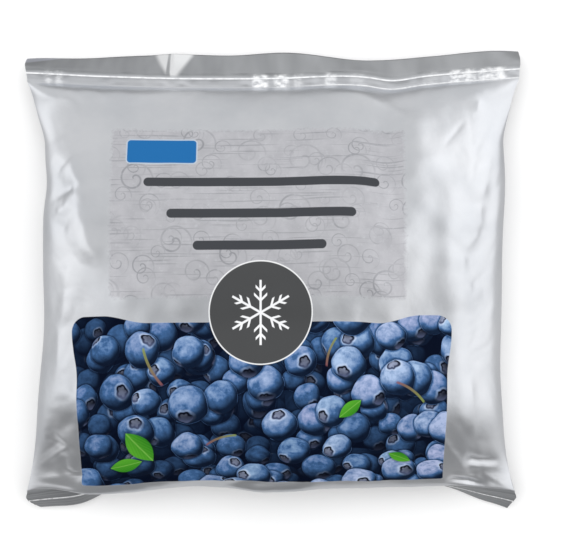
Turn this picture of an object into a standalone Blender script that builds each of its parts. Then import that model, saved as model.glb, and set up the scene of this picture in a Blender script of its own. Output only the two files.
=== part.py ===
"""Pillow bag of quick-frozen berries, lying on its back with the printed face up.

One tube of metallised film is crimped shut across the top and the bottom. The crimped strips stay flat,
and between them the film bellies out over loose berries, so each cross section runs from a flat line at a
seal to a rounded oval in the middle. The bag is shut and opaque, so it is one solid.

Units are metres. X runs across the bag, Y towards its top seal and Z up from the table. The origin is on
the table, in the middle of the footprint.
"""

import bmesh
import bpy
import numpy as np
from mathutils import Vector

MM = 0.001

# The film tube and its two seals
FLAT_WIDTH = 200 * MM
FIN_THICKNESS = 0.8 * MM
SEAL_HEIGHT = 13 * MM
CRIMP_DEPTH = 3.5 * MM
FLAP_LENGTH = 10.4 * MM
BOTTOM_FIN_LENGTH = 12.5 * MM
# How much narrower the bottom fin is at its free edge, as a share of its half width
FIN_TAPER_LEFT, FIN_TAPER_RIGHT = 0.015, 0.045

# The filled body
BODY_HALF_WIDTH = 92.4 * MM
BODY_HEIGHT = 44 * MM
SIDE_HEIGHT = 18 * MM
BELLY_ROUND = 2.8 * MM
BACK_PRESS = 2.5 * MM
TABLE_ROUND = 1.2 * MM

# The side edges flare out to the seals: where each flare ends, how wide it is, its reach and its power
TOP_FLARE = (78 * MM, 6.6 * MM, 24 * MM, 1.6)
BOTTOM_FLARE = (-83 * MM, 6.6 * MM, 60 * MM, 2.2)

# The rise away from each seal, bottom end first: its reach, and the powers of its superellipse
FACE_RISE = ((42 * MM, 2.4, 1 / 2.0), (75 * MM, 2.0, 1 / 1.25))
BACK_RISE = ((24 * MM, 2.2, 1 / 1.6), (38 * MM, 2.0, 1 / 1.5))
# A cross section turns from a parabola at a seal to an oval past this reach, by these changes of its powers
ROUND_REACH = 38 * MM
FACE_ROUNDING = (0.8, 1.0)
BACK_ROUNDING = (1.4, 0.9)

# Berries that show through the film as low lumps
BERRY_PITCH = 13 * MM
BERRY_LUMP = 0.55 * MM
BERRY_SPREAD = 4.6 * MM
BERRY_SEED = 7

# Quads across the bag, from seal to seal, and down each sealed strip
COLUMNS = 54
BODY_ROWS = 44
FIN_ROWS = 3

# Lines in plan, each as (x, y) points in millimetres that a smooth curve joins
BOTTOM_SEAL_MIDDLE, BOTTOM_SEAL_CORNER = -79.5, -85.6
TOP_SEAL_LINE = (
    (-100, 79.2), (-66, 77.6), (-33, 76.8), (0, 76.9), (38, 77.4), (49, 76.0), (61, 77.6), (100, 80.8)
)
TOP_EDGE_LINE = (
    (-100, 88.4), (-74, 88.4), (-37, 90.9), (-17, 90.1), (5, 91.3), (38, 87.4), (64, 89.3), (90, 91.9),
    (100, 91.2)
)
# How far the full belly hangs out over the bottom seal, as (x, overhang) in millimetres
OVERHANG_LINE = (
    (-100, 0), (-86, 1.2), (-70, 5.6), (-56, 6.8), (-30, 5.4), (-2, 8.0), (18, 6.6), (50, 5.2), (68, 3.0),
    (84, 0.9), (100, 0)
)
# How far the bottom fin is folded under, in degrees below level, as (x in millimetres, angle)
BOTTOM_FIN_FOLD = (
    (-100, 56), (-92, 50), (-80, 46), (-67, 70), (-54, 92), (0, 100), (58, 92), (76, 74), (90, 60), (100, 57)
)

# Pinches in the two side edges, as (side, y, half length, depth) in millimetres, below 0 for a swelling
SIDE_PINCHES = (
    (-1, 38, 9, 1.5),
    (-1, 52, 8, 0.5),
    (-1, 66, 8, -0.7),
    (-1, -46, 20, -1.3),
    (1, 66, 9, -0.9),
    (1, 38, 18, -1.8),
    (1, -74, 22, 1.7),
)

# Folds and lumps of the face fade out this close to a seal
RIM_CALM = 6 * MM
# Folds pressed into the face, as (x0, y0, x1, y1, half width, height) in millimetres, below 0 for a valley
FACE_FOLDS = (
    (-92, 56, -76, 38, 5.0, 1.6),
    (-76, 38, -70, 4, 6.5, 1.3),
    (-90, 47, -82, 34, 2.6, -1.5),
    (-90, 30, -76, 37, 2.4, -1.4),
    (-88, 22, -78, 30, 2.6, 1.1),
    (-92, 6, -84, -14, 4.5, -1.2),
    (-72, -4, -84, -50, 5.5, 1.4),
    (-90, -66, -72, -52, 2.4, -1.8),
    (-92, -72, -68, -56, 2.2, 1.5),
    (-92, -78, -68, -66, 2.4, -1.6),
    (98, 74, 91, 50, 2.6, 1.5),
    (92, 78, 82, 50, 4.5, -1.3),
    (84, 56, 66, 38, 2.4, -1.3),
    (92, 42, 78, 2, 5.0, -1.5),
    (72, 30, 66, -16, 6.0, 1.2),
    (72, 2, 82, -62, 5.5, 1.8),
    (66, -30, 76, -64, 4.5, -1.6),
    (70, -72, 92, -73, 2.2, -1.8),
    (68, -75, 90, -77, 2.0, 1.3),
    (-98, 76, -58, 66, 4.0, -1.6),
    (-62, 74, -50, 58, 3.4, -1.1),
    (26, 76, 52, 56, 4.2, -1.5),
    (50, 74, 60, 54, 4.5, 1.2),
    (-40, -80, -16, -76, 2.4, 1.0),
    (-20, -82, 14, -78, 2.2, -1.5),
    (-16, -85, 16, -84, 2.6, 1.2),
    (-76, -80, -50, -77, 2.0, 1.2),
    (-70, -76, -44, -79, 1.8, -1.1),
)


def smooth_step(x):
    """The cubic that leaves 0 and reaches 1 with no slope."""
    x = np.clip(x, 0, 1)
    return x * x * (3 - 2 * x)


def curve_through(points, x):
    """A smooth curve through (x, y) points: a cubic on each stretch, with the slope of its neighbours."""
    px, py = np.array(points, float).T * MM
    slope = np.gradient(py, px)
    i = np.clip(np.searchsorted(px, x) - 1, 0, len(px) - 2)
    step = px[i + 1] - px[i]
    t = np.clip((x - px[i]) / step, 0, 1)
    rise = smooth_step(t)
    return (
        py[i] * (1 - rise)
        + py[i + 1] * rise
        + step * (slope[i] * t * (1 - t) ** 2 - slope[i + 1] * t * t * (1 - t))
    )


def bottom_seal(x):
    """The bottom seal in plan. Its middle is drawn in by the filling and its corners stand out."""
    across = np.abs(2 * x / FLAT_WIDTH) ** 3
    return (BOTTOM_SEAL_MIDDLE + (BOTTOM_SEAL_CORNER - BOTTOM_SEAL_MIDDLE) * across) * MM


def top_seal(x):
    return curve_through(TOP_SEAL_LINE, x)


def rise_from(distance, reach, power, root):
    """0 at a seal and 1 past its reach, as a superellipse."""
    return (1 - (1 - np.clip(distance / reach, 0, 1)) ** power) ** root


def section_height(across, roundness, rounding):
    """1 in the middle of a cross section and 0 at its side edges."""
    return (1 - across ** (2 + rounding[0] * roundness)) ** (1 / (1 + rounding[1] * roundness))


def flare_at(from_seal, width, reach, power):
    """How far a side edge stands out beyond the straight middle, from_seal metres short of its seal."""
    return width * np.clip(1 - from_seal / reach, 0, 1.1) ** power


def share_of_length(t):
    """From the rows, evenly spaced in t, to the share of the body's length: tightest at the bottom seal."""
    turn = 0.88 * np.pi
    return (1 - np.cos(turn * t)) / (1 - np.cos(turn))


def half_width(y, side):
    """From the middle line to the side edge at y: a straight middle that flares out to both seals."""
    width = BODY_HALF_WIDTH + flare_at(TOP_FLARE[0] - y, *TOP_FLARE[1:])
    width = width + flare_at(y - BOTTOM_FLARE[0], *BOTTOM_FLARE[1:])
    for pinched, at, half_length, depth in SIDE_PINCHES:
        away = (y - at * MM) / (half_length * MM)
        width = width - (side == pinched) * depth * MM * np.exp(-away * away)
    return np.minimum(width, FLAT_WIDTH / 2)


def berry_lumps(x, y):
    """Low bumps on a jittered triangular grid, one for each berry that lies against the film."""
    draw = np.random.default_rng(BERRY_SEED)
    lumps = np.zeros_like(x)
    for row in range(-6, 7):
        for column in range(-7, 8):
            jitter = draw.uniform(-0.28, 0.28, 2)
            size = draw.uniform(0.35, 1.0)
            cx = (column + 0.5 * (row % 2) + jitter[0]) * BERRY_PITCH
            cy = (row * 0.87 + jitter[1]) * BERRY_PITCH
            away = ((x - cx) ** 2 + (y - cy) ** 2) / BERRY_SPREAD**2
            lumps = lumps + size * BERRY_LUMP * np.exp(-away)
    return lumps


def face_folds(x, y):
    """The sum of the folds. Each is a bell across its line, and fades out at both ends."""
    height = np.zeros_like(x)
    for x0, y0, x1, y1, half, rise in FACE_FOLDS:
        dx, dy = (x1 - x0) * MM, (y1 - y0) * MM
        length = np.hypot(dx, dy)
        along = ((x - x0 * MM) * dx + (y - y0 * MM) * dy) / length**2
        off = ((x - x0 * MM) * dy - (y - y0 * MM) * dx) / length / (half * MM)
        fade = smooth_step((along + 0.15) / 0.4) * smooth_step((1.15 - along) / 0.4)
        height = height + rise * MM * fade * np.exp(-off * off)
    return height


def body_point(u, t, is_face):
    """A point of the filled body: u runs from -1 to 1 across it, t from 0 to 1 from bottom seal to top."""
    side = np.sign(u)
    across = np.sin(np.abs(u) * np.pi / 2)
    rough_x = side * across * BODY_HALF_WIDTH
    low, high = bottom_seal(rough_x), top_seal(rough_x)
    y = low + (high - low) * share_of_length(t)
    x = side * across * half_width(y, side)
    from_bottom, from_top = y - low, high - y

    roundness = smooth_step(from_bottom / ROUND_REACH) * smooth_step(from_top / ROUND_REACH)
    edge_height = SEAL_HEIGHT + (SIDE_HEIGHT - SEAL_HEIGHT) * roundness
    if is_face:
        crown = rise_from(from_bottom, *FACE_RISE[0]) * rise_from(from_top, *FACE_RISE[1])
        crown_height = SEAL_HEIGHT + (BODY_HEIGHT - SEAL_HEIGHT) * crown
        section = section_height(across, roundness, FACE_ROUNDING)
        z = edge_height + np.maximum(crown_height - edge_height, 0) * section
        calm = smooth_step(4 * (1 - across)) * smooth_step(np.minimum(from_bottom, from_top) / RIM_CALM)
        z = z + calm * (face_folds(x, y) + crown * berry_lumps(x, y)) + FIN_THICKNESS / 2
        past = from_bottom / BELLY_ROUND
        reach = curve_through(OVERHANG_LINE, rough_x) + 0.7 * BELLY_ROUND * (1 - across**4)
        y = y - reach * past * np.exp(1 - past)
        return np.stack([x, y, z], axis=-1)
    belly = rise_from(from_bottom, *BACK_RISE[0]) * rise_from(from_top, *BACK_RISE[1])
    sag = belly * section_height(across, roundness, BACK_ROUNDING)
    z = edge_height - (edge_height + BACK_PRESS) * sag - FIN_THICKNESS / 2
    return np.stack([x, y, flat_on_table(z)], axis=-1)


def flat_on_table(z):
    """Keeps z above the table: the back is dead flat where it rests, with a rounded way up around that."""
    rounded = (z + TABLE_ROUND) ** 2 / (4 * TABLE_ROUND)
    return np.where(z < -TABLE_ROUND, 0, np.where(z > TABLE_ROUND, z, rounded))


def strip_point(start, outward, drop, length, is_face):
    """A point on a sealed strip that leaves start along Y, 1 or -1 outward, at drop radians below level."""
    skin = FIN_THICKNESS / 2 if is_face else -FIN_THICKNESS / 2
    y = start[..., 1] + outward * (np.cos(drop) * length + np.sin(drop) * skin)
    z = start[..., 2] - np.sin(drop) * length + np.cos(drop) * skin
    return np.stack([start[..., 0], y, z], axis=-1)


def seal_line(u, line):
    """The line along which the two film layers meet."""
    x = np.sign(u) * np.sin(np.abs(u) * np.pi / 2) * FLAT_WIDTH / 2
    return np.stack([x, line(x), np.full_like(x, SEAL_HEIGHT)], axis=-1)


def bottom_fin_point(u, share, is_face):
    """The bottom strip, folded under the bag in the middle and looking out at the corners."""
    start = seal_line(u, bottom_seal)
    fold = np.radians(curve_through(BOTTOM_FIN_FOLD, start[..., 0]) / MM)
    start[..., 0] *= 1 - np.where(u > 0, FIN_TAPER_RIGHT, FIN_TAPER_LEFT) * share * np.abs(u) ** 6
    return strip_point(start, -1, fold, share * BOTTOM_FIN_LENGTH, is_face)


def top_flap_point(u, share, is_face):
    """The top strip past its level crimped band: a plain flap that leans back from the band and waves."""
    start = seal_line(u, top_seal)
    start[..., 1] += CRIMP_DEPTH
    reach = curve_through(TOP_EDGE_LINE, start[..., 0]) - start[..., 1]
    lean = np.arccos(np.clip(reach / FLAP_LENGTH, 0, 1))
    drop = lean if share > 0 else 0 * lean
    return strip_point(start, 1, drop, share * FLAP_LENGTH, is_face)


def bag_point(u, row, is_face):
    """Row 0 is the free edge of the bottom fin. The body's rows follow, then the crimp and the top flap."""
    if row < FIN_ROWS:
        return bottom_fin_point(u, 1 - row / FIN_ROWS, is_face)
    if row <= FIN_ROWS + BODY_ROWS:
        return body_point(u, (row - FIN_ROWS) / BODY_ROWS, is_face)
    return top_flap_point(u, (row - FIN_ROWS - BODY_ROWS - 1) / FIN_ROWS, is_face)


def add_film_layer(mesh, is_face):
    """A flat grid, each vertex moved to its place on the face or on the back. Returns its rim."""
    rows = BODY_ROWS + 2 * FIN_ROWS + 1
    made = bmesh.ops.create_grid(mesh, x_segments=COLUMNS, y_segments=rows, size=1)
    verts = made["verts"]
    across = np.array([v.co.x for v in verts])
    row = np.rint([(v.co.y + 1) * rows / 2 for v in verts]).astype(int)
    points = np.zeros((len(verts), 3))
    for r in range(rows + 1):
        points[row == r] = bag_point(across[row == r], r, is_face)
    for vert, point in zip(verts, points):
        vert.co = point
    faces = {face for vert in verts for face in vert.link_faces}
    if not is_face:
        bmesh.ops.reverse_faces(mesh, faces=list(faces))
    return [edge for face in faces for edge in face.edges if edge.is_boundary]


def stand_on_origin(mesh):
    """Moves the middle of the footprint to the origin, and the lowest point to the table."""
    points = np.array([vert.co for vert in mesh.verts])
    low, high = points.min(axis=0), points.max(axis=0)
    middle = Vector(((low[0] + high[0]) / 2, (low[1] + high[1]) / 2, low[2]))
    bmesh.ops.translate(mesh, verts=mesh.verts, vec=-middle)


def film_material():
    material = bpy.data.materials.new("metallised_film")
    material.use_nodes = True
    shader = material.node_tree.nodes["Principled BSDF"]
    shader.inputs["Base Color"].default_value = (0.55, 0.56, 0.58, 1)
    shader.inputs["Metallic"].default_value = 0.85
    shader.inputs["Roughness"].default_value = 0.38
    return material


def make_bag(collection):
    mesh = bmesh.new()
    rim = add_film_layer(mesh, True) + add_film_layer(mesh, False)
    bmesh.ops.bridge_loops(mesh, edges=list(set(rim)))
    bmesh.ops.recalc_face_normals(mesh, faces=mesh.faces)
    stand_on_origin(mesh)
    data = bpy.data.meshes.new("bag")
    mesh.to_mesh(data)
    mesh.free()
    data.shade_smooth()
    data.set_sharp_from_angle(angle=np.radians(75))
    data.materials.append(film_material())
    bag = bpy.data.objects.new("bag", data)
    collection.objects.link(bag)


def main():
    for old in list(bpy.data.objects):
        bpy.data.objects.remove(old)
    collection = bpy.data.collections.new("frozen_fruit_bag")
    bpy.context.scene.collection.children.link(collection)
    make_bag(collection)


main()
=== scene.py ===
"""Looks of a filled pillow bag of frozen berries: one tube of metallised film, printed on its face.

Lengths are millimetres in the shape functions and metres in the scene. X runs across the bag, Y towards its
top seal and Z up from the table it lies on.
"""

from functools import partial

import bpy
import numpy as np
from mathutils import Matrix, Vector


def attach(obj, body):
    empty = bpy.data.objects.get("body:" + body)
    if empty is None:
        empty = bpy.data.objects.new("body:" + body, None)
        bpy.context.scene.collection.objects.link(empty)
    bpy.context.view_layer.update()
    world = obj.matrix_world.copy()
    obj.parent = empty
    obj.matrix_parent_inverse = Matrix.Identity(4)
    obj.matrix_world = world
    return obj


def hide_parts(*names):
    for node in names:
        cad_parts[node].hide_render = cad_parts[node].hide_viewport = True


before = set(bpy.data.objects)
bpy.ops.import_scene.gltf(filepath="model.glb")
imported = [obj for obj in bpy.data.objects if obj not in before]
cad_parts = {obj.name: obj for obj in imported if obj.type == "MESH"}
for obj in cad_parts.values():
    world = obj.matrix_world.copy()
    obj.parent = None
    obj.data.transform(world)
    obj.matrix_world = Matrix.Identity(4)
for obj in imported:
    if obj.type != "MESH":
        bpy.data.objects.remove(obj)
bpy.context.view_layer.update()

MM = 0.001

# The film tube and its two seals
FLAT_WIDTH = 200
SEAL_HEIGHT = 13
CRIMP_DEPTH = 3.5
RIB_DEPTH = 2.4
CRIMP_END = CRIMP_DEPTH + RIB_DEPTH
FLAP_LENGTH = 8.0
BOTTOM_FIN_LENGTH = 12.5
FIN_TAPER_LEFT, FIN_TAPER_RIGHT, FIN_BEND = 0.055, 0.042, 1.0
TOP_WIDENING, FIN_WIDENING = 9, 5
BOTTOM_RIDGE = 6.5
LAYER_GAP = 0.3
RIB_PITCH = 1.25

# The filled body
BODY_HALF_WIDTH = 91.6
BODY_HEIGHT = 44
SIDE_HEIGHT = 18
BELLY_ROUND = 2.8
BACK_PRESS = 2.5
TABLE_ROUND = 1.2
TOP_FLARE = (78, 6.6, 24, 1.6)
BOTTOM_FLARE = (-83, 6.6, 60, 2.2)
FACE_RISE = ((42, 2.4, 1 / 2.0), (75, 2.0, 1 / 1.25))
BACK_RISE = ((24, 2.2, 1 / 1.6), (38, 2.0, 1 / 1.5))
ROUND_REACH = 38
FACE_ROUNDING = (0.8, 1.0)
BACK_ROUNDING = (1.4, 0.9)
# Shares of the way in from the side edges and up from the bottom seal over which the mesh is finer
SIDE_EASE, SEAL_EASE = 0.2, 0.12

# Berries that show through the film as low lumps
BERRY_PITCH = 13
BERRY_LUMP = 0.45
BERRY_SPREAD = 4.6
BERRY_SEED = 7

# Crumpled film: the size of its largest facets on the face and the back, and the share of the drawn height
# that folds and creases get
FACE_CRUMPLE, BACK_CRUMPLE = 17, 23
FOLD_SHARE, CREASE_SHARE = 0.8, 0.75
# The seed of each random relief
FACE_SEED, BACK_SEED, GATHER_SEED, BAND_SEED, LEAN_SEED, FLAP_SEED, FIN_SEED = 3, 33, 21, 61, 70, 71, 81

# Height and half width of the ridge on each seal, and how high the fine ribs beside it are
CRIMP_RIDGE, FIN_RIDGE = (0.3, 0.35), (0.4, 0.4)
CRIMP_RIB_HEIGHT, FIN_RIB_HEIGHT = 0.02, 0.06
# The flap: how far its edge hangs down, by how much that changes along it, and from where and how far its two
# corners curl down
FLAP_LEAN, FLAP_LEAN_CHANGE = 4.2, 0.9
CURL_START, CURL_REACH, CURL_DROP = 86, 14, 3.4

# Lines in plan, each as (x, y) points that a smooth curve joins
MIDDLE_Y = -0.4
BOTTOM_SEAL_MIDDLE, BOTTOM_SEAL_CORNER = -79.5, -85.6
TOP_SEAL_LINE = (
    (-100, 79.2), (-66, 77.6), (-33, 76.8), (0, 76.9), (38, 77.4), (49, 76.0), (61, 77.6), (100, 80.8)
)
TOP_EDGE_LINE = (
    (-100, 89.3), (-74, 89.1), (-62, 89.8), (-37, 90.6), (-17, 90.1), (5, 91.4), (38, 88.2), (64, 89.8),
    (90, 92.1), (100, 92.2)
)
OVERHANG_LINE = (
    (-100, 0), (-86, 1.2), (-70, 5.2), (-56, 5.4), (-30, 3.2), (-2, 5.2), (18, 4.4), (50, 3.0), (68, 1.6),
    (84, 1.4), (100, 0)
)
# The steep shoulder right under the top seal: over how many millimetres it rises at some x, how high it is
# there, and over how many it fades
SHOULDER_REACH_LINE = (
    (-100, 5), (-92, 7), (-82, 7.5), (-75, 8.5), (-71.5, 12), (-66, 9), (-60, 14), (-54, 8), (-46, 5),
    (16, 5), (30, 6), (44, 8), (60, 9), (84, 8), (100, 4)
)
SHOULDER_RISE_LINE = (
    (-100, 5), (-92, 8.5), (-82, 9), (-64, 8.5), (-52, 4), (-40, 1.0), (-26, 0.4), (12, 0.4), (30, 1.6),
    (60, 4.2), (84, 4.8), (100, 2.6)
)
SHOULDER_FADE = 9
# How far the bottom fin is folded under, in degrees below level
BOTTOM_FIN_FOLD = (
    (-100, 56), (-92, 50), (-80, 46), (-67, 70), (-54, 88), (0, 89), (58, 88), (76, 74), (90, 58), (100, 53)
)
# Pinches in the two side edges, as (side, y, half length, depth), below 0 for a swelling
SIDE_PINCHES = (
    (-1, 38, 9, 1.5),
    (-1, 52, 8, 0.5),
    (-1, 66, 8, -0.7),
    (-1, -18, 15, 0.6),
    (-1, -46, 20, -1.0),
    (1, 66, 9, -0.9),
    (1, 38, 18, -1.3),
    (1, -38, 20, 0.8),
    (1, -74, 22, 1.7),
)
# Broad folds pressed into the face, as (x0, y0, x1, y1, half width, height), below 0 for a valley
FACE_FOLDS = (
    (-92, 56, -76, 38, 5.0, 1.6),
    (-76, 38, -70, 4, 6.5, 1.3),
    (-90, 47, -82, 34, 2.6, -1.5),
    (-90, 30, -76, 37, 2.4, -1.4),
    (-88, 22, -78, 30, 2.6, 1.1),
    (-92, 6, -84, -14, 4.5, -1.2),
    (-80, -4, -86, -50, 5.2, 1.7),
    (-90, -66, -78, -55, 2.4, -0.8),
    (-92, -78, -78, -68, 2.4, -0.7),
    (98, 74, 91, 50, 2.6, 0.9),
    (92, 78, 82, 50, 4.5, -0.6),
    (92, 42, 78, 2, 5.0, -1.5),
    (72, 30, 66, -16, 6.0, 1.2),
    (72, 2, 75, -66, 6.0, 1.7),
    (74, -72, 92, -73, 2.6, -0.7),
    (28, 76, 52, 63, 3.8, 1.2),
    (54, 66, 58, 40, 9.0, 2.0),
    (-58, -18, 66, -18.5, 9.0, -2.2),
    (-40, -80, -16, -76, 2.4, 1.0),
    (-20, -82, 14, -78, 2.2, -1.5),
    (-16, -85, 16, -84, 2.6, 1.2),
    (-76, -80, -50, -77, 2.0, 1.2),
    (72, -83, 94, -85, 4.5, -0.9),
    (70, -82, 90, -78, 5.0, -0.8),
    (-70, -76, -44, -79, 1.8, -1.1),
)
# Sharp creases in the face, as (x0, y0, x1, y1, half width at the start, half width at the end, height)
FACE_CREASES = (
    # the right ear
    (99, 79, 94, 61, 1.6, 2.4, 0.9),
    (95, 76, 84, 56, 3.0, 4.0, -0.7),
    (91.5, 71, 92, 66, 1.0, 1.2, 0.8),
    (82.5, 71, 82, 66, 1.6, 1.6, 0.8),
    (76, 62, 67.5, 52, 0.9, 1.1, -0.35),
    # the left ear
    (-96, 74, -91, 60, 1.6, 2.4, 0.4),
    # the shoulder of the left side, and the dents beside it
    (-84, 56, -79, 49, 3.5, 4.5, 1.2),
    (-79, 49, -75.5, 27, 4.5, 4.5, 1.5),
    (-75.5, 27, -67.5, 6, 4.5, 5.5, 1.4),
    (-87, 47, -83, 42.5, 2.6, 2.6, -1.2),
    (-90, 42, -87.5, 40, 0.9, 0.9, -0.9),
    (-89.5, 37.5, -83.4, 32, 1.8, 1.8, -1.2),
    (-87, 30, -82.5, 25.5, 1.4, 1.4, 1.0),
    (-90, 26, -79.8, 18, 2.4, 2.8, -1.4),
    (-90, 12, -88, -6, 2.8, 3.2, -1.2),
    (-79, 7, -81, -17, 3.6, 4.0, 1.2),
    (-84, -18, -82, -40, 3.0, 4.0, 1.3),
    (-88, -20, -88, -44, 2.4, 3.0, -0.4),
    # the shoulder of the right side, and the facets beside it
    (87, 49, 81, 29, 3.2, 3.6, 1.7),
    (81, 29, 81.5, 19, 3.6, 3.6, 1.5),
    (81.5, 19, 74, 11.5, 3.6, 4.0, 1.5),
    (74, 11.5, 72, -11, 4.0, 5.0, 1.4),
    (92, 46, 87, 36, 1.6, 1.8, 1.2),
    (87, 38, 85.5, 24, 2.0, 2.2, -1.4),
    (92, 30, 88, 20, 1.5, 1.8, 1.0),
    (90, 17, 84, 6, 2.0, 2.2, -1.3),
    (86, 4, 77, -3, 1.8, 2.2, -1.1),
    (88, 0, 86, -22, 2.0, 3.0, 1.0),
    # folds that run into the bottom left corner
    (-93, -56, -89, -66, 1.4, 1.8, 1.1),
    (-91, -63, -80, -66, 1.2, 1.8, -1.5),
    (-94, -75.5, -80, -66, 0.8, 1.2, 1.3),
    (-94, -80.5, -85, -79.5, 0.7, 1.0, 1.0),
    (-95, -81.5, -79, -84, 1.2, 1.6, -1.1),
    (-93, -71, -84, -64, 0.7, 1.0, -1.0),
    (-86, -60, -80, -66, 0.9, 1.2, 0.9),
    (-84, -76, -76, -79, 0.9, 1.2, -1.1),
    (-78, -80, -64, -72, 1.6, 2.4, -1.2),
    # folds that run into the bottom right corner
    (71, -54, 83, -70, 2.6, 3.0, -0.5),
    (76, -38, 79, -62, 2.4, 3.0, 0.7),
    (86, -40, 92, -58, 1.6, 1.8, -1.2),
    (77, -71.6, 91, -72.6, 0.9, 1.0, -1.5),
    (78, -74.6, 92, -75.4, 0.9, 1.0, 1.3),
    (84, -78, 95, -84, 0.8, 1.0, 1.0),
    (72, -78, 84, -80.5, 0.8, 1.0, 0.9),
    (88, -77, 97, -80, 0.7, 0.9, -0.9),
    (70, -80, 84, -83, 1.2, 1.4, -1.3),
    (66, -62, 78, -78, 1.8, 2.4, 1.0),
    (88, -66, 96, -82, 1.4, 1.6, 1.0),
)

# A place where the film is hardly crumpled
CALM_X, CALM_Y, CALM_REACH, CALM_SHARE = 80, -56, 13, 0.75

# The print, in millimetres on the flat film from the middle of the face: (middle x, middle y, half width,
# half height) of each rectangle
PANEL = (-5.7, 26.8, 57.3, 33.8)
TAG, TAG_RIM = (-43.2, 51.0, 13.6, 5.0), 0.5
BARS = ((-4.2, 38.0, 45.8, 1.8), (-4.2, 25.4, 36.6, 1.8), (-4.8, 12.9, 25.7, 1.8))
BADGE_MIDDLE, BADGE_RADIUS, BADGE_RIM = (-4.4, -13.0), 19.6, 0.45
PICTURE, PICTURE_EARS = (-4.4, -50.5, 72.6, 33.8), 3.0
INK_EDGE = 0.12
# The badge's snowflake: length and half width of an arm, start and length of its twigs, and their half width
ARM_LENGTH, ARM_HALF_WIDTH = 12.5, 0.42
TWIGS, TWIG_HALF_WIDTH = ((4.6, 3.6), (8.2, 2.7)), 0.55
# Pitch and turn of each scatter of curls on the panel
SCROLLS = ((21, 0.2), (16, 0.9), (12, 0.5))

# The dart pressed in the flap: its middle, half width at its foot, how much wider it is at the edge, and its
# height, then how far to its left its dark stripe is, and that stripe's depth and half width
DART_X, DART_HALF_WIDTH, DART_SPREAD, DART_HEIGHT = -40.4, 3.4, 5.5, 3.2
DART_STRIPE, STRIPE_DEPTH, STRIPE_HALF_WIDTH = 1.8, 0.9, 0.9
# Painted glints on the top crimp, as (middle x, half width, strength)
PAINTED_GLINT_PATCHES = (
    (-90.5, 1.2, 0.6), (-86.2, 1.4, 0.5), (-5.0, 3.0, 1.0), (3.6, 2.8, 1.0), (10.5, 1.6, 0.5),
    (23.5, 2.2, 0.7), (34, 3.0, 0.2), (64, 3.0, 0.25), (77, 5.2, 0.9), (89, 5.4, 1.0)
)

# The printed heap of berries, from the deepest layer up: pitch, turn, smallest and largest radius, share of
# places taken, and how dark the layer is
BERRY_LAYERS = (
    (15.0, 0.2, 4.6, 6.0, 0.95, 0.17),
    (16.0, 0.9, 4.6, 6.4, 0.90, 0.33),
    (16.5, 1.4, 4.8, 6.7, 0.85, 0.52),
    (17.0, 0.5, 5.0, 7.0, 0.80, 0.73),
    (18.0, 1.2, 5.2, 7.3, 0.75, 0.88),
    (20.0, 0.1, 5.6, 8.3, 0.60, 1.0),
)
DEEP_PITCH, DEEP_RADIUS, DEEP_SHADE = 11, 6.5, 0.05
DISC_REACH = 1.18
# Where light comes from in the picture, and the crown on each berry: its lobes and their depth, and the
# cosines from its middle at which its ring, its hollow and the hollow's floor start and are full
BERRY_LIGHT = (-0.34, 0.62, 0.71)
CROWN_LOBES, LOBE_DEPTH = 5.0, 0.011
CROWN_RING, CROWN_HOLLOW, CROWN_FLOOR = (0.84, 0.89), (0.905, 0.93), (0.955, 0.975)
# Leaves and stalks on the heap: (middle x, middle y, turn in degrees, half length, half width)
LEAVES = (
    (-52, -66, 128, 8.6, 4.8),
    (-58, -74.5, 14, 7.0, 3.3),
    (30, -50, 40, 5.6, 2.6),
    (50, -71, 155, 5.0, 2.4),
)
STALKS = (
    (-47, -34, 118, 8.5, 0.55),
    (-20, -62, 20, 6.5, 0.5),
    (22, -28, 70, 6.0, 0.45),
    (54, -42, -35, 7.0, 0.5),
)

# The film's finish: roughness of bare film at its sleekest and its dullest, and of ink, how much its clear
# top layer mirrors, and the crinkle's strength and height in metres
FILM_ROUGHNESS, INK_ROUGHNESS, FILM_GLOSS = (0.27, 0.34), 0.5, 0.02
CRINKLE = (0.12, 0.0004)

# The studio that the film mirrors is grey overhead. Each tone changes that towards one side, as (side, how
# far that way the change starts, how far it is full, change of the grey). The last darkens the lower right
STUDIO_GREY = 0.58
STUDIO_TONES = (
    ((0, 1, 0), 0.0, 0.6, 0.14),
    ((1, -0.1, 0), 0.14, 0.52, 0.55),
    ((-1, -0.8, 0), 0.28, 0.72, 0.54),
    ((0.8, -0.6, 0), 0.85, 1.0, -0.4),
)
# The same for the dark side beyond the bottom seal, with the share of the grey that is left there
FRONT_TONE = ((-0.2, -1, 0), 0.06, 0.85, 0.25)
# Heights between which the studio turns to its low greys, and those: all round, and beyond the top seal
LOW_RANGE, LOW_GREY, LOW_BACK_GREY = (0.04, -0.26), 0.6, 0.34

# The lengthwise seal, folded over flat under the back
BACK_SEAL_X, BACK_SEAL_HALF_WIDTH = 4, 6
BACK_SEAL_THICKNESS, BACK_SEAL_SPREAD = 0.5, 7

# The camera's lens and sensor, then in metres its place, the span of its picture and the height of that
LENS, SENSOR = 100, 36
CAMERA_X, CAMERA_Y, CAMERA_SPAN, SPAN_HEIGHT = 0.0038, 0.0027, 0.2265, 0.015
# The soft light, a little to the left and towards the top seal, and how far the floor reaches, in metres
SOFTBOX_PLACE, SOFTBOX_SIZE, SOFTBOX_WATTS = (-0.1, 0.15, 1.2), 1.2, 9
FLOOR_REACH = 3.0

# The mesh: columns across, then rows down the bottom fin, the body, the crimped band, the ribs and the flap
COLUMNS = 276
FIN_ROWS, BODY_ROWS, BAND_ROWS, RIB_ROWS, FLAP_ROWS = 30, 206, 14, 8, 14
# In the UV maps: how far the back lies to the right of the face, and the distance that means no seal
BACK_SHIFT, NO_SEAL = 300, -160.0


def smooth_step(x):
    """The cubic that leaves 0 and reaches 1 with no slope."""
    x = np.clip(x, 0, 1)
    return x * x * (3 - 2 * x)


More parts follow.
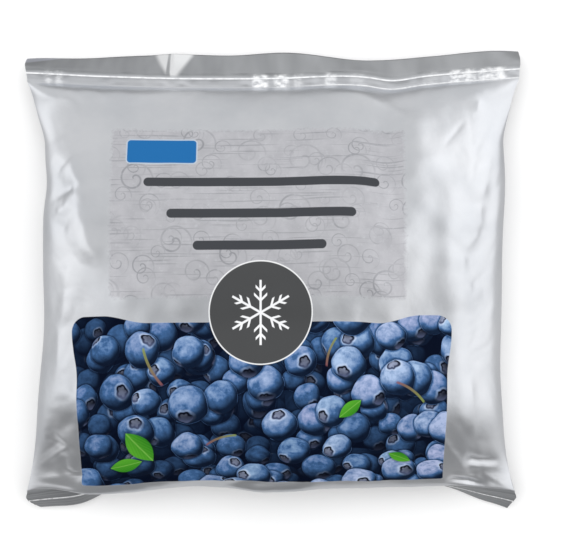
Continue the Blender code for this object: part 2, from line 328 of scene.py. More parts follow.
def curve_through(points, x):
    """A smooth curve through (x, y) points: a cubic on each stretch, with the slope of its neighbours."""
    px, py = np.array(points, float).T
    slope = np.gradient(py, px)
    i = np.clip(np.searchsorted(px, x) - 1, 0, len(px) - 2)
    step = px[i + 1] - px[i]
    t = np.clip((x - px[i]) / step, 0, 1)
    rise = smooth_step(t)
    return (
        py[i] * (1 - rise)
        + py[i + 1] * rise
        + step * (slope[i] * t * (1 - t) ** 2 - slope[i + 1] * t * t * (1 - t))
    )


def eased_start(t, until):
    """Runs from 0 to 1: a parabola up to until, then the straight line that goes on from it."""
    k = 1 / (until * (2 - until))
    return np.where(t < until, k * t * t, 2 * k * until * (t - until / 2))


def lattice_noise(x, y, pitch, seed):
    """Random heights from -1 to 1 on a square lattice, with a smooth step between neighbours."""
    draw = np.random.default_rng(seed)
    table = draw.uniform(-1, 1, (64, 64))
    gx, gy = x / pitch + 31.5, y / pitch + 31.5
    ix, iy = np.floor(gx).astype(int), np.floor(gy).astype(int)
    fx, fy = smooth_step(gx - ix), smooth_step(gy - iy)
    ix, iy = ix % 63, iy % 63
    low = table[iy, ix] * (1 - fx) + table[iy, ix + 1] * fx
    high = table[iy + 1, ix] * (1 - fx) + table[iy + 1, ix + 1] * fx
    return low * (1 - fy) + high * fy


def crumple(x, y, pitch, seed):
    """Sharp-edged facets: the absolute value of warped noise, at three sizes that halve each time."""
    wx = x + 0.45 * pitch * lattice_noise(x, y, 1.7 * pitch, seed + 50)
    wy = y + 0.45 * pitch * lattice_noise(x, y, 1.7 * pitch, seed + 51)
    height = np.zeros_like(x)
    for octave in range(3):
        size = pitch / 2**octave
        turn = 0.6 + 1.1 * octave
        rx = wx * np.cos(turn) - wy * np.sin(turn)
        ry = wx * np.sin(turn) + wy * np.cos(turn)
        height += (np.abs(lattice_noise(rx, ry, size, seed + octave)) - 0.33) / 2**octave
    return height


def bottom_seal(x):
    """The bottom seal's y: level in the middle, and down towards both corners as a cubic."""
    across = np.abs(2 * x / FLAT_WIDTH) ** 3
    return BOTTOM_SEAL_MIDDLE + (BOTTOM_SEAL_CORNER - BOTTOM_SEAL_MIDDLE) * across


def top_seal(x):
    """The top seal's y, on a smooth curve through its points."""
    return curve_through(TOP_SEAL_LINE, x)


def rise_from(distance, reach, power, root):
    """0 at a seal and 1 past its reach, as a superellipse."""
    return (1 - (1 - np.clip(distance / reach, 0, 1)) ** power) ** root


def section_height(across, roundness, rounding):
    """1 in the middle of a cross section and 0 at its side edges."""
    return (1 - across ** (2 + rounding[0] * roundness)) ** (1 / (1 + rounding[1] * roundness))


def flare_at(from_seal, width, reach, power):
    """How far a side edge stands out beyond the straight middle, from_seal short of its seal."""
    return width * np.clip(1 - from_seal / reach, 0, 1.1) ** power


def half_width(y, side):
    """From the middle line to the side edge at y: a straight middle that flares out to both seals."""
    width = BODY_HALF_WIDTH + flare_at(TOP_FLARE[0] - y, *TOP_FLARE[1:])
    width = width + flare_at(y - BOTTOM_FLARE[0], *BOTTOM_FLARE[1:])
    for pinched, at, half_length, depth in SIDE_PINCHES:
        away = (y - at) / half_length
        width = width - (side == pinched) * depth * np.exp(-away * away)
    return np.minimum(width, FLAT_WIDTH / 2)


def flat_on_table(z):
    """Keeps z above the table: dead flat where the back rests, with a rounded way up around that."""
    rounded = (z + TABLE_ROUND) ** 2 / (4 * TABLE_ROUND)
    return np.where(z < -TABLE_ROUND, 0, np.where(z > TABLE_ROUND, z, rounded))


def along_segments(x, y, segments, profile):
    """The sum over segments of height times a profile of the distance from the line, faded at both ends.

    A segment's half width may change evenly from its start to its end."""
    total = np.zeros_like(x)
    for x0, y0, x1, y1, *halves, height in segments:
        dx, dy = x1 - x0, y1 - y0
        length = np.hypot(dx, dy)
        along = ((x - x0) * dx + (y - y0) * dy) / length**2
        half = halves[0] + (halves[-1] - halves[0]) * np.clip(along, 0, 1)
        off = ((x - x0) * dy - (y - y0) * dx) / length / half
        fade = smooth_step((along + 0.15) / 0.4) * smooth_step((1.15 - along) / 0.4)
        total += height * fade * profile(off)
    return total


def berry_lumps(x, y):
    """Low bumps on a jittered triangular grid, one for each berry that lies against the film."""
    draw = np.random.default_rng(BERRY_SEED)
    lumps = np.zeros_like(x)
    for row in range(-6, 7):
        for column in range(-7, 8):
            jitter = draw.uniform(-0.28, 0.28, 2)
            size = draw.uniform(0.35, 1.0)
            cx = (column + 0.5 * (row % 2) + jitter[0]) * BERRY_PITCH
            cy = (row * 0.87 + jitter[1]) * BERRY_PITCH
            away = ((x - cx) ** 2 + (y - cy) ** 2) / BERRY_SPREAD**2
            lumps += size * BERRY_LUMP * np.exp(-away)
    return lumps


def body_surface(u, t, is_face):
    """The smooth filled body over grids of u, -1 to 1 across it, and t, 0 to 1 from bottom seal to top.

    Also gives the crown (0 at the seals, 1 where the bag is full), the distance from the middle line as a
    share, the distances to both seals, and how thick the bag is at each place."""
    side = np.sign(u)
    across = 1 - eased_start(1 - np.abs(u), SIDE_EASE)
    rough_x = side * across * BODY_HALF_WIDTH
    seal_x = side * across * FLAT_WIDTH / 2
    low, high = bottom_seal(seal_x), top_seal(seal_x)
    y = low + (high - low) * eased_start(t, SEAL_EASE)
    x = side * across * half_width(y, side)
    from_bottom, from_top = y - low, high - y
    roundness = smooth_step(from_bottom / ROUND_REACH) * smooth_step(from_top / ROUND_REACH)
    edge_height = SEAL_HEIGHT + (SIDE_HEIGHT - SEAL_HEIGHT) * roundness
    crown, sag = (
        rise_from(from_bottom, *rises[0]) * rise_from(from_top, *rises[1]) for rises in (FACE_RISE, BACK_RISE)
    )
    crown_height = SEAL_HEIGHT + (BODY_HEIGHT - SEAL_HEIGHT) * crown
    section = section_height(across, roundness, FACE_ROUNDING)
    climbed = smooth_step(0.5 + 0.5 * from_top / curve_through(SHOULDER_REACH_LINE, rough_x)) * 2 - 1
    shoulder = curve_through(SHOULDER_RISE_LINE, rough_x) * climbed * np.exp(-from_top / SHOULDER_FADE)
    puff = np.maximum(crown_height - edge_height, 0) * section
    face_z = edge_height + puff + shoulder * (1 - across**24) + LAYER_GAP / 2
    sag = sag * section_height(across, roundness, BACK_ROUNDING)
    back_z = flat_on_table(edge_height - (edge_height + BACK_PRESS) * sag - LAYER_GAP / 2)
    if is_face:
        past = from_bottom / BELLY_ROUND
        reach = curve_through(OVERHANG_LINE, rough_x) + 0.7 * BELLY_ROUND * (1 - across**4)
        y = y - reach * past * np.exp(1 - past)
    points = np.stack([x, y, face_z if is_face else back_z], axis=-1)
    return points, (crown, across, from_bottom, from_top, face_z - back_z)


def within_thickness(relief, thickness, share):
    """Relief whose hollows are eased off so that they never go deeper than a share of the thickness."""
    limit = share * thickness + 0.01
    return np.where(relief < 0, limit * np.tanh(relief / limit), relief)


def surface_normals(points, is_face):
    """Unit normals of a grid of points, from the cross product of its two tangents."""
    along_u = np.gradient(points, axis=1)
    along_v = np.gradient(points, axis=0)
    normals = np.cross(along_u, along_v) * (1 if is_face else -1)
    return normals / np.maximum(np.linalg.norm(normals, axis=-1, keepdims=True), 1e-9)


def face_relief(points, crown, across, from_bottom, from_top, thickness):
    """How far the film stands off the smooth face: folds, creases, berries and crumpled sides."""
    x, y = points[..., 0], points[..., 1]
    bell = along_segments(x, y, FACE_FOLDS, lambda off: np.exp(-off * off))
    sharp = along_segments(x, y, FACE_CREASES, lambda off: np.exp(0.25 - np.sqrt(off * off + 0.0625)))
    sides = smooth_step((across - 0.74) / 0.2) * (0.15 + 0.85 * smooth_step((from_top - 8) / 26))
    ends = smooth_step(1 - from_bottom / 34) + 0.2 * smooth_step(1 - from_top / 34)
    crumpled = (0.1 + 1.0 * sides + 0.45 * ends) * crumple(x, y, FACE_CRUMPLE, FACE_SEED)
    crumpled = crumpled * (1 - CALM_SHARE * np.exp(-((x - CALM_X) ** 2 + (y - CALM_Y) ** 2) / CALM_REACH**2))
    gathers = smooth_step(1 - from_top / 22) * 0.2 * lattice_noise(x, 0.18 * from_top, 5.5, GATHER_SEED)
    calm = smooth_step(5 * (1 - across)) * smooth_step(np.minimum(from_bottom, from_top) / 4)
    folded = FOLD_SHARE * bell + CREASE_SHARE * sharp
    relief = calm * (folded + crown * berry_lumps(x, y) + crumpled + gathers)
    return within_thickness(relief, thickness, 0.7)


def back_relief(points, _, across, from_bottom, from_top, thickness):
    """How far the film stands off the smooth back: a crumple that is calm near the seals."""
    x, y = points[..., 0], points[..., 1]
    calm = smooth_step(6 * (1 - across)) * smooth_step(np.minimum(from_bottom, from_top) / 8)
    return within_thickness(calm * 0.9 * crumple(x, y, BACK_CRUMPLE, BACK_SEED), thickness, 0.2)


def lay_back_seal(points, from_bottom, from_top):
    """Raises the back by the thickness of its lengthwise seal, all but under the seal's own strip.

    The film comes down to the table again away from the strip, as a bell."""
    off = np.abs(points[..., 0] - BACK_SEAL_X) - BACK_SEAL_HALF_WIDTH
    ends = smooth_step(np.minimum(from_bottom, from_top) / 3)
    away = np.maximum(off, 0) / BACK_SEAL_SPREAD
    lifted = np.where(off > 0, np.exp(-away * away), 0)
    points[..., 2] += BACK_SEAL_THICKNESS * ends * lifted


def top_strip(x, past, body_x):
    """The top strip at past from the seal: a level crimped band, short ribs, then a flap that leans back.

    Its sides start at body_x, where the body's film ends, and ease out to the flat width."""
    level = np.minimum(past, CRIMP_END)
    down = past - level
    share = down / FLAP_LENGTH
    reach = curve_through(TOP_EDGE_LINE, x) - top_seal(x) - CRIMP_END
    lean = FLAP_LEAN + FLAP_LEAN_CHANGE * lattice_noise(x, 0 * x, 31, LEAN_SEED)
    y = top_seal(x) + level + reach * share
    z = SEAL_HEIGHT - lean * share
    band = smooth_step(past / 1.4) * smooth_step((CRIMP_END - past) / 0.8)
    z += band * CRIMP_RIB_HEIGHT * np.sin(2 * np.pi * past / RIB_PITCH)
    z += band * 0.3 * lattice_noise(x, 2 * past, 4.4, BAND_SEED)
    z += CRIMP_RIDGE[0] * np.exp(-(((past - CRIMP_DEPTH) / CRIMP_RIDGE[1]) ** 2))
    dart = np.abs(x - DART_X) / (DART_HALF_WIDTH + DART_SPREAD * share)
    stripe = (x - DART_X + DART_STRIPE) / STRIPE_HALF_WIDTH
    z += share * (DART_HEIGHT * np.clip(1 - dart, 0, 1) - STRIPE_DEPTH * np.exp(-stripe * stripe))
    curl = np.maximum(np.abs(x) - CURL_START, 0) / CURL_REACH * share
    z -= CURL_DROP * curl * curl
    z += share * lattice_noise(x, 0.4 * down, 15, FLAP_SEED)
    return np.stack([body_x + (x - body_x) * smooth_step(past / TOP_WIDENING), y, z], axis=-1)


def bottom_strip(x, past, body_x, across):
    """The bottom strip at past from the seal, folded under in the middle and looking out at the corners.

    It leaves the seal level and bends down, so that it stays clear of the back. Its sides start at body_x."""
    share = past / BOTTOM_FIN_LENGTH
    fold = np.radians(curve_through(BOTTOM_FIN_FOLD, x))
    taper = np.where(x > 0, FIN_TAPER_RIGHT * share, FIN_TAPER_LEFT * share**3) * across**6
    ribs = FIN_RIB_HEIGHT * np.sin(2 * np.pi * past / (1.3 * RIB_PITCH)) * smooth_step(past / 1.5)
    ridge = FIN_RIDGE[0] * np.exp(-(((past - BOTTOM_RIDGE) / FIN_RIDGE[1]) ** 2))
    wave = ribs + ridge + 0.4 * share * lattice_noise(x, past, 11, FIN_SEED)
    bend = FIN_BEND * (1 - np.exp(-past / FIN_BEND))
    y = bottom_seal(x) - np.cos(fold) * past - np.sin(fold) * (wave + bend)
    z = SEAL_HEIGHT - np.sin(fold) * (past - 0.6 * bend) + np.cos(fold) * wave
    x = body_x + (x * (1 - taper) - body_x) * smooth_step(past / FIN_WIDENING)
    return np.stack([x, y, z], axis=-1)


def film_layer(is_face):
    """One layer of the tube as a grid: bottom fin, body, top strip. The back has half the rows and columns.

    Gives its points, and for each point its place on the flat film and its distance past both seals."""
    step = 1 if is_face else 2
    u = np.linspace(-1, 1, COLUMNS + 1)[::step]
    across = 1 - eased_start(1 - np.abs(u), SIDE_EASE)
    strip_x = np.sign(u) * across * FLAT_WIDTH / 2
    skin = LAYER_GAP / 2 if is_face else -LAYER_GAP / 2

    past_bottom = np.linspace(BOTTOM_FIN_LENGTH, 0, FIN_ROWS + 1)[::step][:-1]
    past_top = np.concatenate([
        np.linspace(0, CRIMP_DEPTH, BAND_ROWS + 1),
        np.linspace(CRIMP_DEPTH, CRIMP_END, RIB_ROWS + 1)[1:],
        np.linspace(CRIMP_END, CRIMP_END + FLAP_LENGTH, FLAP_ROWS + 1)[1:],
    ])[::step][1:]
    t = np.linspace(0, 1, BODY_ROWS + 1)[::step]

    grid_u, grid_t = np.meshgrid(u, t)
    body, places = body_surface(grid_u, grid_t, is_face)
    from_bottom, from_top = places[2:4]
    grid_x, grid_past = np.meshgrid(strip_x, past_bottom)
    fin = bottom_strip(grid_x, grid_past, body[0, :, 0], across)
    top_x, top_past = np.meshgrid(strip_x, past_top)
    flap = top_strip(top_x, top_past, body[-1, :, 0])

    smooth = np.concatenate([fin, body, flap])
    normals = surface_normals(smooth, is_face)
    points = smooth.copy()
    rows = slice(len(past_bottom), len(past_bottom) + len(t))
    relief = (face_relief if is_face else back_relief)(body, *places)
    points[rows] += normals[rows] * relief[..., None]
    if not is_face:
        lay_back_seal(points[rows], from_bottom, from_top)
    up = normals * (1 if is_face else -1)
    points[: rows.start] += up[: rows.start] * skin
    points[rows.stop :] += up[rows.stop :] * skin
    points[..., 2] = np.maximum(points[..., 2], 0)

    film = film_coordinates(smooth, rows, is_face)
    seal = np.stack([
        np.concatenate([np.full(grid_x.shape, NO_SEAL), -from_top, top_past]),
        np.concatenate([grid_past, -from_bottom, np.full(top_x.shape, NO_SEAL)]),
    ], axis=-1)
    return points, film, seal


def film_coordinates(smooth, rows, is_face):
    """The place of each point on the flat film: lengths measured along the rows and along the middle column.

    The back lies to the right of the face, clear of the print."""
    across = np.linalg.norm(np.diff(smooth, axis=1), axis=-1)
    p = np.concatenate([np.zeros((len(smooth), 1)), np.cumsum(across, axis=1)], axis=1)
    middle = smooth.shape[1] // 2
    p -= p[:, middle : middle + 1]
    column = smooth[:, middle]
    q = np.concatenate([[0], np.cumsum(np.linalg.norm(np.diff(column, axis=0), axis=-1))])
    q -= np.interp(0, column[rows, 1], q[rows])
    q = np.broadcast_to(q[:, None], p.shape)
    return np.stack([p if is_face else p + BACK_SHIFT, q], axis=-1)


def grid_faces(rows, columns, first, flip):
    """Quads between neighbouring points of a grid, numbered row by row from first."""
    corner = first + np.arange(rows - 1)[:, None] * columns + np.arange(columns - 1)
    quads = np.stack([corner, corner + 1, corner + columns + 1, corner + columns], axis=-1).reshape(-1, 4)
    return quads[:, ::-1] if flip else quads


def rim_loop(rows, columns, first):
    """The point numbers round a grid's edge, anticlockwise from its first corner."""
    grid = first + np.arange(rows * columns).reshape(rows, columns)
    return np.concatenate([grid[0, :-1], grid[:-1, -1], grid[-1, :0:-1], grid[:0:-1, 0]])


def rim_faces(fine, coarse):
    """Triangles that join the face's rim to the back's, which has half as many points: three a step."""
    a, b, c = fine[::2], fine[1::2], np.roll(fine, -2)[::2]
    d, e = coarse, np.roll(coarse, -1)
    return np.concatenate([
        np.stack([d, b, a], axis=-1), np.stack([d, e, b], axis=-1), np.stack([e, c, b], axis=-1)
    ])


def new_object(name, data):
    """The object of a mesh, light or camera, put in the scene."""
    made = bpy.data.objects.new(name, data)
    bpy.context.scene.collection.objects.link(made)
    return made


def make_film():
    """The whole tube as one closed mesh: face, back and the thin rim between them."""
    layers = film_layer(True), film_layer(False)
    points, film, seal = (
        np.concatenate([grid.reshape(-1, grid.shape[-1]) for grid in grids]) for grids in zip(*layers)
    )
    points[:, 1] -= MIDDLE_Y

    face, back = (layer[0].shape[:2] for layer in layers)
    first_back = face[0] * face[1]
    quads = np.concatenate([grid_faces(*face, 0, False), grid_faces(*back, first_back, True)])
    rim = rim_faces(rim_loop(*face, 0), rim_loop(*back, first_back))
    mesh = bpy.data.meshes.new("bag_film")
    mesh.from_pydata(points * MM, [], quads.tolist() + rim.tolist())
    loops = np.zeros(len(mesh.loops), dtype=np.int32)
    mesh.loops.foreach_get("vertex_index", loops)
    for name, values in (("film", film), ("seal", seal)):
        layer = mesh.uv_layers.new(name=name)
        layer.uv.foreach_set("vector", (values[loops] * MM).ravel())
    mesh.shade_smooth()
    return new_object("bag_film", mesh)


def colour(code):
    """An sRGB hex code as linear red, green, blue and alpha."""
    srgb = np.array([int(code[i : i + 2], 16) for i in (1, 3, 5)]) / 255
    linear = np.where(srgb <= 0.04045, srgb / 12.92, ((srgb + 0.055) / 1.055) ** 2.4)
    return (*linear.tolist(), 1.0)


# The setting that the second word of a node's kind gives, as in "Math ADD"
WORD_SETS = {
    "Math": "operation", "VectorMath": "operation", "Mix": "data_type", "MapRange": "interpolation_type"
}


def add_node(tree, kind, *values, out=0, **settings):
    """Adds a node with its settings and gives its output numbered out, or several for a slice.

    values go to its inputs in turn: a socket is linked, a value or a colour's hex code is set, and None is
    left as it is. Below, add is this function with its tree given."""
    kind, *words = kind.split()
    made = tree.nodes.new("ShaderNode" + kind)
    for name, value in [*((WORD_SETS[kind], word) for word in words), *settings.items()]:
        setattr(made, name, value)
    for socket, value in zip([socket for socket in made.inputs if socket.enabled], values):
        if isinstance(value, bpy.types.NodeSocket):
            tree.links.new(value, socket)
        elif value is not None:
            socket.default_value = colour(value) if isinstance(value, str) else value
    return [socket for socket in made.outputs if socket.enabled][out]


def inked(add, distance, limit=0.0, blur=INK_EDGE):
    """1 where a distance is below a limit and 0 where it is above, with an edge as soft as blur."""
    return add("MapRange", distance, limit + blur, limit - blur)


def away_from(add, value, middle):
    """How far a value is from a middle one, on either side."""
    return add("Math ABSOLUTE", add("Math SUBTRACT", value, middle))


def mottled(add, place, scale, detail, roughness, *span):
    """Noise in place, drawn out so that two of its levels turn into two others, or else into 0 and 1."""
    return add("MapRange", add("TexNoise", place, scale, detail, roughness), *span)


def box_distance(add, place, box, radius):
    """Distance to the edge of a rectangle with round corners, below 0 inside it."""
    off = add("VectorMath SUBTRACT", place, (box[0], box[1], 0))
    off = add("VectorMath ABSOLUTE", off)
    off = add("VectorMath SUBTRACT", off, (box[2] - radius, box[3] - radius, 0))
    off = add("VectorMath MAXIMUM", off, (0, 0, 0))
    length = add("VectorMath LENGTH", off)
    return add("Math SUBTRACT", length, radius)


def scatter(add, place, pitch, turn, seed, smallest, largest, presence):
    """One disc, or none, in each cell of a turned square grid, at a random spot where it fits in its cell.

    Gives the place on the cell's disc (0 in its middle, length 1 on its edge), three random numbers that
    belong to the disc, and whether there is one."""
    grid = add(
        "Mapping", place, (0.37 * seed, 0.61 * seed, seed + 0.5), (0, 0, turn), (1 / pitch, 1 / pitch, 0)
    )
    cell = add("VectorMath FLOOR", grid)
    luck = add("TexWhiteNoise", cell, out=1, noise_dimensions="3D")
    size_luck, x_luck, y_luck = add("SeparateXYZ", luck, out=slice(3))
    radius = add("MapRange", size_luck, 1 - presence, 1.0, smallest / pitch, largest / pitch)
    room = add("Math MULTIPLY_ADD", radius, -2 * DISC_REACH, 1.0)
    shift = add("CombineXYZ", x_luck, y_luck, 0.5)
    shift = add("VectorMath SUBTRACT", shift, (0.5, 0.5, 0.5))
    shift = add("VectorMath SCALE", shift, room)
    local = add("VectorMath FRACTION", grid)
    local = add("VectorMath SUBTRACT", local, (0.5, 0.5, 0.5))
    local = add("VectorMath SUBTRACT", local, shift)
    local = add("VectorRotate", local, (0, 0, 0), -turn, rotation_type="Z_AXIS")
    local = add("VectorMath SCALE", local, add("Math DIVIDE", 1.0, radius))
    present = add("Math GREATER_THAN", size_luck, 1 - presence)
    return local, luck, present


def berry_heap(add, place):
    """The top berry at each place: where on its ball, its random numbers, and how much light gets to it."""
    luck, spot = add("TexVoronoi", place, 1 / DEEP_PITCH, out=slice(1, 3))
    ball = add("VectorMath SUBTRACT", place, spot)
    ball = add("VectorMath SCALE", ball, 1 / DEEP_RADIUS)
    shade = DEEP_SHADE
    for seed, (pitch, turn, smallest, largest, presence, layer_shade) in enumerate(BERRY_LAYERS):
        local, local_luck, present = scatter(add, place, pitch, turn, seed, smallest, largest, presence)
        away = add("VectorMath LENGTH", local)
        over = add("MapRange", away, 1.02, 0.98)
        over = add("Math MULTIPLY", over, present)
        shadow = add("MapRange SMOOTHSTEP", away, 0.97, DISC_REACH, 0.85, 0.0)
        shadow = add("Math MULTIPLY", shadow, present)
        shadow = add("Math SUBTRACT", 1.0, shadow)
        shadowed = add("Math MULTIPLY", shade, shadow)
        ball = add("Mix VECTOR", over, ball, local)
        luck = add("Mix VECTOR", over, luck, local_luck)
        shade = add("Mix FLOAT", over, shadowed, layer_shade)
    return ball, luck, shade


def berry_colours(add, place):
    """Blueberries lit from the top left: dark blue skin under a pale bloom, each with a five-lobed crown."""
    wobble = add("TexNoise", place, 0.12, 1.0, out=1)
    wobble = add("VectorMath SUBTRACT", wobble, (0.5, 0.5, 0.5))
    wobble = add("VectorMath MULTIPLY_ADD", wobble, (2.2, 2.2, 0), place)
    ball, luck, shade = berry_heap(add, wobble)
    fate = add("TexWhiteNoise", luck, out=1, noise_dimensions="3D")
    square = add("VectorMath DOT_PRODUCT", ball, ball)
    height = add("Math SQRT", add("Math SUBTRACT", 1.0, square, use_clamp=True))
    x, y = add("SeparateXYZ", ball, out=slice(2))
    normal = add("CombineXYZ", x, y, height)
    light = add("VectorMath DOT_PRODUCT", normal, BERRY_LIGHT)
    light = add("MapRange SMOOTHSTEP", light, -0.05, 1.0, 0.03, 1.0)

    bloom_place = add("VectorMath MULTIPLY_ADD", fate, (30, 30, 30), normal)
    bloom = mottled(add, bloom_place, 1.5, 4.0, 0.62, 0.33, 0.66, 0.42, 1.08)
    sideways = add("MapRange", add("SeparateXYZ", place), -60.0, 40.0, 0.66, 1.25)
    for share in (bloom, shade, sideways):
        light = add("Math MULTIPLY", light, share)
    skin = add("MapRange", light, 0.0, 0.42)
    skin = add("Mix RGBA", skin, "#050b1c", "#426797")
    powder = add("MapRange", light, 0.34, 0.98)
    purple = add("SeparateXYZ", fate)
    pale = add("Mix RGBA", purple, "#9cb9d8", "#adb4d6")
    skin = add("Mix RGBA", powder, skin, pale)

    aim = add("VectorMath SUBTRACT", fate, (0.5, 0.5, 0.06))
    aim = add("VectorMath MULTIPLY", aim, (1.5, 1.5, 0.9))
    aim = add("VectorMath NORMALIZE", aim)
    facing = add("VectorMath DOT_PRODUCT", normal, aim)
    along = add("VectorMath SCALE", aim, facing)
    off = add("VectorMath SUBTRACT", normal, along)
    off_x, off_y = add("SeparateXYZ", off, out=slice(2))
    angle = add("Math ARCTAN2", off_y, off_x)
    lobes = add("Math COSINE", add("Math MULTIPLY", angle, CROWN_LOBES))
    facing = add("Math MULTIPLY_ADD", lobes, LOBE_DEPTH, facing)
    ring = add("MapRange", facing, *CROWN_RING)
    ring = add("Math MULTIPLY", ring, light)
    hole = add("MapRange", facing, *CROWN_HOLLOW)
    skin = add("Mix RGBA", ring, skin, "#b4c4de")
    lower_side = add("MapRange", off_y, 0.12, -0.3)
    lower_side = add("Math MULTIPLY", lower_side, shade)
    inner = add("Mix RGBA", lower_side, "#070b18", "#4d5673")
    floor = add("MapRange", facing, *CROWN_FLOOR, 0.0, 0.75)
    floor = add("Math MULTIPLY", floor, light)
    inner = add("Mix RGBA", floor, inner, "#9aa3bd")
    return add("Mix RGBA", hole, skin, inner)


def blade(add, place, leaf):
    """The place on a leaf or stalk: x from -1 to 1 along it and y from -1 to 1 across it."""
    x, y, turn, half_length, half_width = leaf
    return add(
        "Mapping", place, (x, y, 0), (0, 0, np.radians(turn)), (half_length, half_width, 1),
        vector_type="TEXTURE",
    )


def lay_leaves(add, place, picture):
    """Pointed leaves, between two parabolas, with a pale midrib and side veins, and thin bent stalks."""
    for stalk in STALKS:
        x, y = add("SeparateXYZ", blade(add, place, stalk), out=slice(2))
        bend = add("Math MULTIPLY", x, x)
        off = add("Math ABSOLUTE", add("Math MULTIPLY_ADD", bend, 2.2, y))
        end = add("MapRange", bend, 0.8, 1.0, 1.0, 0.0)
        there = add("MapRange", off, 1.1, 0.8, 0.0, 0.85)
        there = add("Math MULTIPLY", there, end)
        tint = add("MapRange", x, -1.0, 1.0)
        tint = add("Mix RGBA", tint, "#7d4a55", "#7f8f4a")
        picture = add("Mix RGBA", there, picture, tint)
    for leaf in LEAVES:
        x, y = add("SeparateXYZ", blade(add, place, leaf), out=slice(2))
        belly = add("Math SUBTRACT", 1.0, add("Math MULTIPLY", x, x))
        off = add("Math ABSOLUTE", y)
        edge = add("Math SUBTRACT", belly, off)
        shadow = add("MapRange", edge, -0.35, 0.0, 0.0, 0.6)
        picture = add("Mix RGBA", shadow, picture, "#0a1410")
        veins = add("Math MULTIPLY_ADD", off, 1.6, x)
        veins = add("Math SINE", add("Math MULTIPLY", veins, 16.0))
        tone = add("MapRange", y, -0.9, 0.9, 0.1, 0.9)
        tone = add("Math MULTIPLY_ADD", veins, 0.1, tone)
        green = add("Mix RGBA", tone, "#2c7a1d", "#57a52f")
        rib = add("MapRange", off, 0.09, 0.03, 0.0, 0.45)
        green = add("Mix RGBA", rib, green, "#8cc25c")
        there = add("MapRange", edge, 0.0, 0.08)
        picture = add("Mix RGBA", there, picture, green)
    return picture


def scrollwork(add, place):
    """Faint curls: a spiral line in each disc of a scatter, thinner and fainter towards its rim."""
    curls = 0.0
    for seed, (pitch, turn) in enumerate(SCROLLS, start=20):
        local, _, present = scatter(add, place, pitch, turn, seed, pitch * 0.3, pitch * 0.42, 0.9)
        x, y = add("SeparateXYZ", local, out=slice(2))
        away = add("VectorMath LENGTH", local)
        angle = add("Math ARCTAN2", y, x)
        winding = add("Math MULTIPLY", away, 1.7)
        winding = add("Math MULTIPLY_ADD", angle, 1 / (2 * np.pi), winding)
        winding = add("Math FRACT", winding)
        line = add("MapRange", away_from(add, winding, 0.5), 0.11, 0.04)
        fade = add("MapRange", away, 1.0, 0.75)
        line = add("Math MULTIPLY", line, fade)
        line = add("Math MULTIPLY", line, present)
        curls = add("Math MAXIMUM", line, curls)
    return curls


def snowflake(add, off):
    """Six arms with two pairs of twigs each, round the middle of off: the plane is folded into one half arm,
    which is three lines."""
    x, y = add("SeparateXYZ", off, out=slice(2))
    angle = add("Math ARCTAN2", x, y)
    angle = add("Math PINGPONG", angle, np.pi / 6)
    away = add("VectorMath LENGTH", off)
    along = add("Math MULTIPLY", add("Math COSINE", angle), away)
    across = add("Math MULTIPLY", add("Math SINE", angle), away)
    flake = add("Math MULTIPLY", inked(add, across, ARM_HALF_WIDTH), inked(add, along, ARM_LENGTH))
    for start, length in TWIGS:
        twig = away_from(add, add("Math SUBTRACT", along, start), across)
        twig = add("Math MULTIPLY", inked(add, twig, TWIG_HALF_WIDTH), inked(add, across, length * 0.7))
        flake = add("Math MAXIMUM", twig, flake)
    return flake


